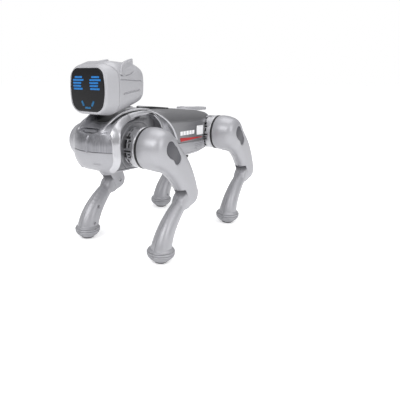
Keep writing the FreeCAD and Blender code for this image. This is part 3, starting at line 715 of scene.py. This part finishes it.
def collar(x, y, z):
    radius = np.hypot(x, y - NECK_Y)
    form = soft_max(2.2, radius - 13, 187 - z, z - 204.8)
    form = engrave(form, np.abs(z - 200) - 0.5, 0.6, 0.35)
    return soft_max(0.4, form, 5.1 - radius)


torso_piece("neck_collar", collar, (-14, NECK_Y - 14, 186), (14, NECK_Y + 14, 206), PALE_SILVER_AND_HIGHLIGHT,
            0.6)

# ---------------------------------------------------------------- legs
OUTER_X = span("thigh_outer_front_left", "x")[1]
DOME_X = 55.0       # where the thigh's round end starts to close
DOME_RADIUS = 27.8
KNUCKLE_RADIUS = 13.1       # of the shank's round end in the knee
KNUCKLE_HALF = 9.7          # its half width
KNEE_ROOM = 13.6            # radius of the room for it in the thigh
INLAY_X = 74.0              # the inlay stays outside this
HALF_SEAM = 0.12            # between the two halves of a thigh
SEAL_X = span("thigh_outer_front_left", "x")[0] + 3.6
INNER_X = span("thigh_inner_front_left", "x")[0]
# the shank's and the thigh's middle lines: (behind the hip, above the hip, thickness[, half ridge spacing])
SHANK_PATH = smooth_path([(KNEE_BACK, KNEE_UP, 9.0, 0.0), (53, -77, 9.4, 0.0), (42.5, -83.5, 9.9, 0.8),
                          (22.5, -99.5, 12, 2.4), (8.5, -116, 13.6, 3.0), (0.8, -131, 14.8, 2.6),
                          (-1, -139, 15.4, 1.6)])
THIGH_PATH = smooth_path([(0, 0, 24), (22, -17, 22), (41, -35, 20.6), (55, -57, 18.8),
                          (KNEE_BACK, KNEE_UP, 17.6)])


def bar_form(x, b, d):
    """The thigh between hip and knee: a tapering plate with full round edges."""
    plate = path_distance(THIGH_PATH[:, :2], b, d, thickness=THIGH_PATH[:, 2])
    return soft_max(15, plate, np.abs(x - LEG_X) - (OUTER_X - LEG_X))


def dome_form(x, b, d):
    beyond = np.maximum(x - DOME_X, 0) * DOME_RADIUS / (OUTER_X - DOME_X)
    return soft_max(1.4, np.sqrt(b * b + d * d + beyond * beyond) - DOME_RADIUS, SEAL_X - x)


def slot_form(x, b, d):
    """The room the shank needs in the thigh's fork as the knee bends."""
    b, d = b - KNEE_BACK, d - KNEE_UP
    room = np.hypot(b, d) - KNEE_ROOM
    for angle in (-172, -140, -107):
        turn = math.radians(angle)
        along = b * math.cos(turn) + d * math.sin(turn)
        across = d * math.cos(turn) - b * math.sin(turn)
        room = np.minimum(room, np.maximum(np.abs(across) - KNEE_ROOM, -along))
    return np.maximum(room, np.abs(x - LEG_X) - 10.3)


INLAY_PATH = smooth_path([(1.8, 2.2), (5.5, -1.5), (13.5, -5.5), (19.8, -13.4)], rounds=1)
INLAY_WIDTH = np.linspace(10.2, 8.0, len(INLAY_PATH))


def inlay_area(b, d):
    return path_distance(INLAY_PATH, b, d, thickness=INLAY_WIDTH)


def hip_local(x, y, z):
    """The place as x, distance behind the hip and height above it."""
    return x, y - HIP_Y, z - HIP_Z


def thigh_whole(x, b, d):
    return soft_min(11, dome_form(x, b, d), bar_form(x, b, d))


def thigh_outer(x, y, z):
    x, b, d = hip_local(x, y, z)
    form = thigh_whole(x, b, d)
    pocket = soft_max(0.5, inlay_area(b, d), INLAY_X - x)
    form = engrave(form, pocket, 1.5, 0.45)
    inner_half = np.minimum(LEG_X + HALF_SEAM - x, np.hypot(b, d) - 28.4)
    return soft_max(0.8, soft_max(0.3, form, inner_half), -slot_form(x, b, d))


def thigh_inner(x, y, z):
    x, b, d = hip_local(x, y, z)
    form = soft_max(0.3, thigh_whole(x, b, d), x - LEG_X + HALF_SEAM, 28.6 - np.hypot(b, d))
    screw = np.maximum(np.hypot(b - 44, d + 34) - 2.4, x - INNER_X - 4)
    screw = np.minimum(screw, np.maximum(np.hypot(b - KNEE_BACK, d - KNEE_UP) - 2.4, x - INNER_X - 2.5))
    return soft_max(0.8, engrave(form, screw, 1.6, 0.4), -slot_form(x, b, d))


def thigh_inlay(x, y, z):
    x, b, d = hip_local(x, y, z)
    form = thigh_whole(x, b, d)
    return soft_max(0.5, form + 0.75, -form - 2.6, inlay_area(b, d) + 0.35, INLAY_X - x)


# (height, radius) up the foot
FOOT_SHAPE = np.array([(0, 8), (3, 11.6), (5, 14.4), (8, 17.2), (10.5, 18.8), (15, 19.2), (17.5, 18.2),
                       (19.5, 16), (22, 13)], float)


def foot(x, b, z):
    radius = np.hypot(x - LEG_X, b + 1)
    form = soft_max(1.5, radius - np.interp(z, FOOT_SHAPE[:, 0], FOOT_SHAPE[:, 1]), z - 19.5)
    for height in (16.6, 13.4, 10.4, 7.6, 5.0):
        form = engrave(form, np.abs(z - height) - 0.45, 1.6, 0.4)
    return soft_max(0.5, form, 3 - z)


def shank(x, b, d):
    """The curved lower leg, with a soft ridge down its front, on a ringed foot."""
    sides = []
    for sign in (1, -1):
        points = np.column_stack([SHANK_PATH[:, 0] + sign * 0.55 * SHANK_PATH[:, 3],
                                  SHANK_PATH[:, 1], LEG_X + sign * 0.83 * SHANK_PATH[:, 3]])
        sides.append(path_distance(points, b, d, x, thickness=SHANK_PATH[:, 2] + 0.62 * SHANK_PATH[:, 3]))
    form = soft_max(1.2, *sides)
    within = np.abs(x - LEG_X) - KNUCKLE_HALF
    knuckle = soft_max(2.5, np.hypot(b - KNEE_BACK, d - KNEE_UP) - KNUCKLE_RADIUS, within)
    line = np.array([(KNEE_BACK, KNEE_UP), (49.5, -79.5)])
    top = soft_max(2.5, path_distance(line, b, d, thickness=np.array([12.9, 11.6])), within)
    return soft_min(4, form, knuckle, top)


def whole_shank(x, y, z):
    x, b, d = hip_local(x, y, z)
    form = soft_max(0.5, shank(x, b, d), 12 - z)
    form = soft_min(1.2, form, foot(x, b, z))
    holes = np.minimum(np.hypot(b - 13, d + 106), np.hypot(b - 1.5, z - 24)) - 1.9
    return engrave(form, np.maximum(holes, x - LEG_X), 2.4, 0.35)


def shank_outer(x, y, z):
    return soft_max(0.4, whole_shank(x, y, z), LEG_X + 0.1 - x)


def shank_inner(x, y, z):
    return soft_max(0.4, whole_shank(x, y, z), x - LEG_X + 0.1)


def sole(x, y, z):
    radius = np.hypot(x - LEG_X, y - HIP_Y + 1)
    form = soft_max(1.0, radius - 9 - 0.8 * z, z - 3.1, -z)
    for ring in (3.0, 6.0):
        form = engrave(form, np.maximum(np.abs(radius - ring) - 0.6, z - 1.5), 0.8, 0.35)
    return form


def for_leg(part):
    """Functions that name the body and the CAD node of a piece on each leg."""
    body = "shank" if part.startswith(("shank", "foot")) else "thigh"
    return (lambda end, side: f"{body}_{end}_{side}",
            lambda end, side: [f"{part}_{end}_{side}"])


FOR_BOTH_ENDS = (0, REAR_SHIFT)
for part, field, low, high, step, finish, slot in (
        ("thigh_outer", thigh_outer, (48, HIP_Y - 32, 60), (86, HIP_Y + 82, 184), 0.8, LEG_GREY, "leg_shell"),
        ("thigh_inner", thigh_inner, (50, HIP_Y - 30, 60), (73, HIP_Y + 82, 184), 0.8, LEG_GREY, "leg_shell"),
        ("thigh_inlay", thigh_inlay, (72, HIP_Y - 9, 130), (86, HIP_Y + 29, 167), 0.6, INLAY, "inlay_grey"),
        ("shank_outer", shank_outer, (69, HIP_Y - 20, 1), (91, HIP_Y + 75, 94), 0.7, LEG_GREY, "leg_shell"),
        ("shank_inner", shank_inner, (51, HIP_Y - 20, 1), (73, HIP_Y + 75, 94), 0.7, LEG_GREY, "leg_shell"),
        ("foot_sole", sole, (58, HIP_Y - 14, 0), (84, HIP_Y + 12, 4), 0.5, SOLE, "black_rubber")):
    side_pieces(part, field, low, high, step, finish, *for_leg(part), slot, shifts=FOR_BOTH_ENDS)

# ---------------------------------------------------------------- hip rings
RING_X = SEAL_X - 3.3       # outer face
RING_RADIUS, RING_BORE = 27.2, 24.2
FLANGE_RADIUS, FLANGE_X = 28.0, 45.0
CORE_RADIUS, SEAL_RADIUS = 25.2, 27.9
SLOT_RADIUS = 27            # where the slots' widths are measured
SCREW_STEP = math.radians(64)
# slots round the ring: (angle above straight ahead, half angle, from, to), mirrored behind the hip
RING_SLOTS = ((16, 12.5, 30.4, 34.4), (35, 3.6, 30.4, 38.6), (44, 7, 31.2, 35), (-4, 2.2, 30.4, 42.6),
              (-16, 7, 30.4, 34.6), (-13, 1.9, 35.4, 41.2), (-21, 1.9, 35.4, 41.2), (-17, 3.6, 39.2, 41.2),
              (-35, 6, 32, 36.2), (-51, 6, 31, 36), (62, 6, 31, 34.4), (76, 4, 32, 38.6),
              (12, 6, 37, 39.8), (-70, 6, 31, 34.4), (25, 2.8, 36, 41))


def ring_place(y, z):
    """Distance from the hip axis, and the angle above or below the axis towards either end."""
    b, d = y - HIP_Y, z - HIP_Z
    return np.hypot(b, d), np.arctan2(d, np.abs(b))


def hip_ring(x, y, z):
    """A silver ring with slots all round it, open at its middle for the dark core."""
    radius, angle = ring_place(y, z)
    body = soft_max(0.6, radius - RING_RADIUS, RING_BORE - radius, 28.8 - x, x - RING_X)
    flange = soft_max(0.7, radius - FLANGE_RADIUS, RING_BORE - radius, FLANGE_X - x, x - RING_X)
    form = soft_min(0.4, body, flange)
    for middle, half, start, end in RING_SLOTS:
        around = (angle - math.radians(middle)) * SLOT_RADIUS
        size = ((end - start) / 2, math.radians(half) * SLOT_RADIUS)
        slot = rounded_box(size, 0.3, x - (start + end) / 2, around)
        form = soft_max(0.35, form, -slot)
    return engrave(form, np.abs(x - 46.2) - 0.3, 0.5, 0.3)


def hip_core(x, y, z):
    radius = ring_place(y, z)[0]
    form = soft_max(0.8, radius - CORE_RADIUS, 28.6 - x, x - RING_X + 0.4)
    return soft_max(0.4, form, 6.1 - radius)


def hip_seal(x, y, z):
    radius = ring_place(y, z)[0]
    return soft_max(0.4, radius - SEAL_RADIUS, RING_X + 0.05 - x, x - SEAL_X + 0.2, 20 - radius)


def screws(x, y, z):
    """Small screw heads in a circle round the ring."""
    radius, angle = ring_place(y, z)
    beat = ((angle + math.radians(24)) / SCREW_STEP + 0.5) % 1 - 0.5
    around = beat * SCREW_STEP * 27.4
    head_form = soft_max(0.4, np.hypot(x - 41, around) - 1.3, radius - 27.8, 26 - radius)
    slot = np.maximum(np.abs(around) - 0.3, 27.3 - radius)
    return engrave(head_form, slot, 0.5, 0.25)


def first_only(nodes):
    return lambda end, side: nodes if (end, side) == ("front", "left") else []


for part, field, step, finish, slot, nodes in (
        ("hip_ring", hip_ring, 0.6, HIP_SILVER, "machined_silver", ["hip_housings"]),
        ("hip_core", hip_core, 0.8, BLACK, "black_plastic", []),
        ("hip_seal", hip_seal, 0.45, RUBBER, "black_rubber", ["hip_seals"]),
        ("hip_screws", screws, 0.4, STEEL, "steel", [])):
    side_pieces(part, field, (27, HIP_Y - 29, HIP_Z - 29), (52, HIP_Y + 29, HIP_Z + 29), step, finish,
                lambda end, side: TORSO_BODY, first_only(nodes), slot, shifts=FOR_BOTH_ENDS)


# ---------------------------------------------------------------- controls and tail
def pad_lift(y):
    """How far the pad stands above the casing: most at its front end."""
    return 0.8 + 2.1 * np.clip((PAD_MID + PAD_HALF[1] - y) / (2 * PAD_HALF[1]), 0, 1)


def touch_pad(x, y, z):
    skin = torso(x, y, z)
    return soft_max(0.8, pad_shape(x, y, 2.2), skin - 0.4 - pad_lift(y), -skin - 3)


def touch_rim(x, y, z):
    skin = torso(x, y, z)
    return soft_max(0.5, pad_shape(x, y, 0.25), -pad_shape(x, y, 2.0), skin - 0.7 - pad_lift(y), -skin - 2.8)


def switch_knob(x, y, z):
    low, high = (np.array(corner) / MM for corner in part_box("power_switch"))
    middle = (low + high) / 2
    form = rounded_box((3, 3, 1.5), 0.6, x - middle[0], y - middle[1], z - low[2] - 1.5)
    for rib in (-1.6, 0, 1.6):
        form = engrave(form, np.maximum(np.abs(y - middle[1] - rib) - 0.25, z - low[2] - 1.5), 0.5, 0.25)
    stem = rounded_box((1.5, 1.5, 4.1), 0.3, x - middle[0], y - middle[1], z - middle[2])
    return soft_min(0.3, form, stem)


def charge_port(x, y, z):
    radius = np.hypot(x, z - PORT_Z)
    cup = soft_max(0.5, radius - 4.5, y - RUMP - 0.6, 86 - y, -np.maximum(radius - 2.9, 90 - y))
    pin = soft_max(0.3, radius - 1.0, y - RUMP + 0.3, 86 - y)
    return soft_min(0.2, cup, pin)


TAIL_FRONT, TAIL_REAR = span("tail_blade", "y")
TAIL_HALF = span("tail_blade", "x")[1]
TAIL_ANGLE = math.radians(-3.9)
TAIL_END = TAIL_REAR - 12.5
TAIL_Z = 193.4      # height of the blade's front end


def tail(x, y, z):
    b, d = y - TAIL_FRONT, z - TAIL_Z
    along = b * math.cos(TAIL_ANGLE) + d * math.sin(TAIL_ANGLE)
    above = d * math.cos(TAIL_ANGLE) - b * math.sin(TAIL_ANGLE)
    length = (TAIL_END - TAIL_FRONT) / math.cos(TAIL_ANGLE)
    half = TAIL_HALF * (1 - 0.35 * np.clip(1 - along / 26, 0, 1) ** 2)
    plan = rounded_box((TAIL_HALF, length / 2), 7, x * TAIL_HALF / half, along - length / 2)
    lift = 1.6 * np.clip((along - 45) / 40, 0, 1) ** 2
    blade = soft_max(1.8, plan, np.abs(above - lift) - 2.5)
    groove = np.maximum(np.abs(np.abs(x) - 6.2) - 0.5, np.maximum(8 - along, along - 64))
    blade = engrave(blade, np.maximum(groove, -above), 0.7, 0.4)
    peg = soft_max(0.5, np.hypot(x, y - 50) - 3.4, 188 - z, z - 196)
    return soft_min(1.5, blade, peg)


piece("touch_pad_top", touch_pad, (-14, -63, 190), (14, 5, 206), 0.6, PAD_GREY, "touch_pad",
      ["touch_button"])
piece("touch_pad_rim", touch_rim, (-14, -63, 190), (14, 5, 206), 0.5, BLACK, "touch_pad", NO_NODES)
piece("power_switch", switch_knob, (16, 27, 114), (26, 37, 126), 0.4, BLACK, "switch_slider",
      ["power_switch"])
torso_piece("charge_port", charge_port, (-6, 84, 160), (6, 97, 172), BLACK, 0.4)
torso_piece("tail_blade", tail, (-13, TAIL_FRONT - 2, 183), (13, TAIL_REAR + 2, 206), HEAD_GREY,
            0.6)


# ---------------------------------------------------------------- painted marks on the flanks
def mark(name, corners, finish, side, columns=24, rows=6):
    """A thin painted patch that follows the casing between four (along, up) corners."""
    low_front, low_rear, high_rear, high_front = (np.array(c, float) for c in corners)
    s, t = np.meshgrid(np.linspace(0, 1, columns + 1), np.linspace(0, 1, rows + 1), indexing="ij")
    s, t = s.ravel()[:, None], t.ravel()[:, None]
    place = ((1 - s) * (1 - t) * low_front + s * (1 - t) * low_rear + s * t * high_rear
             + (1 - s) * t * high_front)
    y, z = place.T
    x = np.full(len(y), 45.0)
    for _ in range(8):
        x = x - torso(x, y, z)
    layers = [np.column_stack([side * (x + lift), y, z]) for lift in (0.28, -0.6)]
    points = np.concatenate(layers)
    grid = np.arange(len(y)).reshape(columns + 1, rows + 1)
    top = np.stack([grid[:-1, :-1], grid[1:, :-1], grid[1:, 1:], grid[:-1, 1:]], axis=-1).reshape(-1, 4)
    rim = np.concatenate([grid[:-1, 0], grid[-1, :-1], grid[:0:-1, -1], grid[0, :0:-1]])
    after = np.roll(rim, -1)
    count = len(y)
    walls = np.column_stack([rim + count, after + count, after, rim])
    quads = np.concatenate([top, top[:, ::-1] + count, walls])
    if side < 0:
        quads = quads[:, ::-1]
    finish_piece(add_mesh(name, points, quads), finish, TORSO_BODY, NO_NODES)


for side, sign in zip(SIDES, (1, -1)):
    mark(f"red_wedge_{side}", ((-13.5, 148.4), (52, 148.2), (52, 148.8), (-15.6, 154.4)), RED, sign)
    mark(f"white_block_{side}", ((34, 153.6), (55.5, 152.4), (55.5, 167), (34, 168.2)), WHITE, sign)
    for bar in range(5):
        front, drop = -15 + 8.6 * bar, 0.3 * bar
        rear = front + 6.8
        mark(f"white_bar_{side}_{bar}", ((front, 158 - drop), (rear, 157.8 - drop), (rear, 163.8 - drop),
                                         (front, 164 - drop)), WHITE, sign, 6, 4)

# ---------------------------------------------------------------- inner parts carried over
CARRIED = {"servo_motors": BLACK, "chassis_frame": FRAME_GREY, "battery_pack": BATTERY,
           "circuit_board": BOARD, "speaker": BLACK, "face_display": BOARD, "neck_shaft": STEEL}
CARRIED.update({node: STEEL for node in frame["nodes"] if node.startswith(("hip_shaft", "knee_pin"))})
for node, finish in CARRIED.items():
    frame["nodes"][node].data.materials.clear()
    frame["nodes"][node].data.materials.append(finish)

# ---------------------------------------------------------------- floor, light and camera
FLOOR_HALF, FLOOR_Z = 9000.0, -0.3
floor = add_mesh("floor", np.array([(x * FLOOR_HALF, y * FLOOR_HALF, FLOOR_Z)
                                    for x, y in ((-1, -1), (1, -1), (1, 1), (-1, 1))]),
                 np.array([(0, 1, 2, 3)]))
floor.data.materials.append(shaded("pale_floor", (0.92, 0.92, 0.92), 0.9, scale=3, mottle=0.004,
                                   bump=0, glow=0.5))

bpy.context.scene.view_settings.view_transform = "Standard"
world = bpy.data.worlds.new("studio")
bpy.context.scene.world = world
world.use_nodes = True
sky, wires = world.node_tree.nodes, world.node_tree.links
backdrop = sky["Background"]
heading = sky.new("ShaderNodeTexCoord")
split = sky.new("ShaderNodeSeparateXYZ")
wires.new(heading.outputs["Generated"], split.inputs["Vector"])
ramp = sky.new("ShaderNodeValToRGB")
for stop, shade in zip(ramp.color_ramp.elements, (0.25, 0.8)):      # level, straight up
    stop.color = (shade, shade, shade * 1.02, 1)
wires.new(split.outputs["Z"], ramp.inputs["Fac"])
sight = sky.new("ShaderNodeLightPath")
mix = sky.new("ShaderNodeMix")
mix.data_type = "RGBA"
wires.new(sight.outputs["Is Camera Ray"], mix.inputs["Factor"])
wires.new(ramp.outputs["Color"], mix.inputs["A"])
mix.inputs["B"].default_value = (1, 1, 1, 1)
wires.new(mix.outputs["Result"], backdrop.inputs["Color"])


def lamp(name, place, aim, width, height, power):
    light = bpy.data.lights.new(name, "AREA")
    light.shape = "RECTANGLE"
    light.size, light.size_y, light.energy = width, height, power
    item = bpy.data.objects.new(name, light)
    bpy.context.scene.collection.objects.link(item)
    item.location = place
    item.rotation_euler = (Vector(aim) - Vector(place)).to_track_quat("-Z", "Y").to_euler()


lamp("key_light", (0.1, -1.1, 1.0), (0, -0.05, 0.12), 0.9, 0.6, 7)
lamp("side_light", (1.3, -0.2, 0.8), (0, 0, 0.14), 0.5, 1.0, 5)
lamp("top_light", (0, 0.3, 1.4), (0, 0, 0.15), 1.0, 1.0, 6)

CAMERA_PLACE = Vector((0.3787, -0.5137, 0.249))
CAMERA_AZIMUTH = math.radians(37.0)
CAMERA_DROP = math.radians(11.3)
CAMERA_LENS, CAMERA_SENSOR = 36.63, 36
CAMERA_SHIFT = (0.10, -0.1125)
camera = bpy.data.objects.new("camera", bpy.data.cameras.new("camera"))
bpy.context.scene.collection.objects.link(camera)
camera.location = CAMERA_PLACE
forward = Vector((-math.sin(CAMERA_AZIMUTH) * math.cos(CAMERA_DROP),
                  math.cos(CAMERA_AZIMUTH) * math.cos(CAMERA_DROP), -math.sin(CAMERA_DROP)))
camera.rotation_euler = forward.to_track_quat("-Z", "Y").to_euler()
camera.data.sensor_width = CAMERA_SENSOR
camera.data.lens = CAMERA_LENS
camera.data.shift_x, camera.data.shift_y = CAMERA_SHIFT
bpy.context.scene.camera = camera
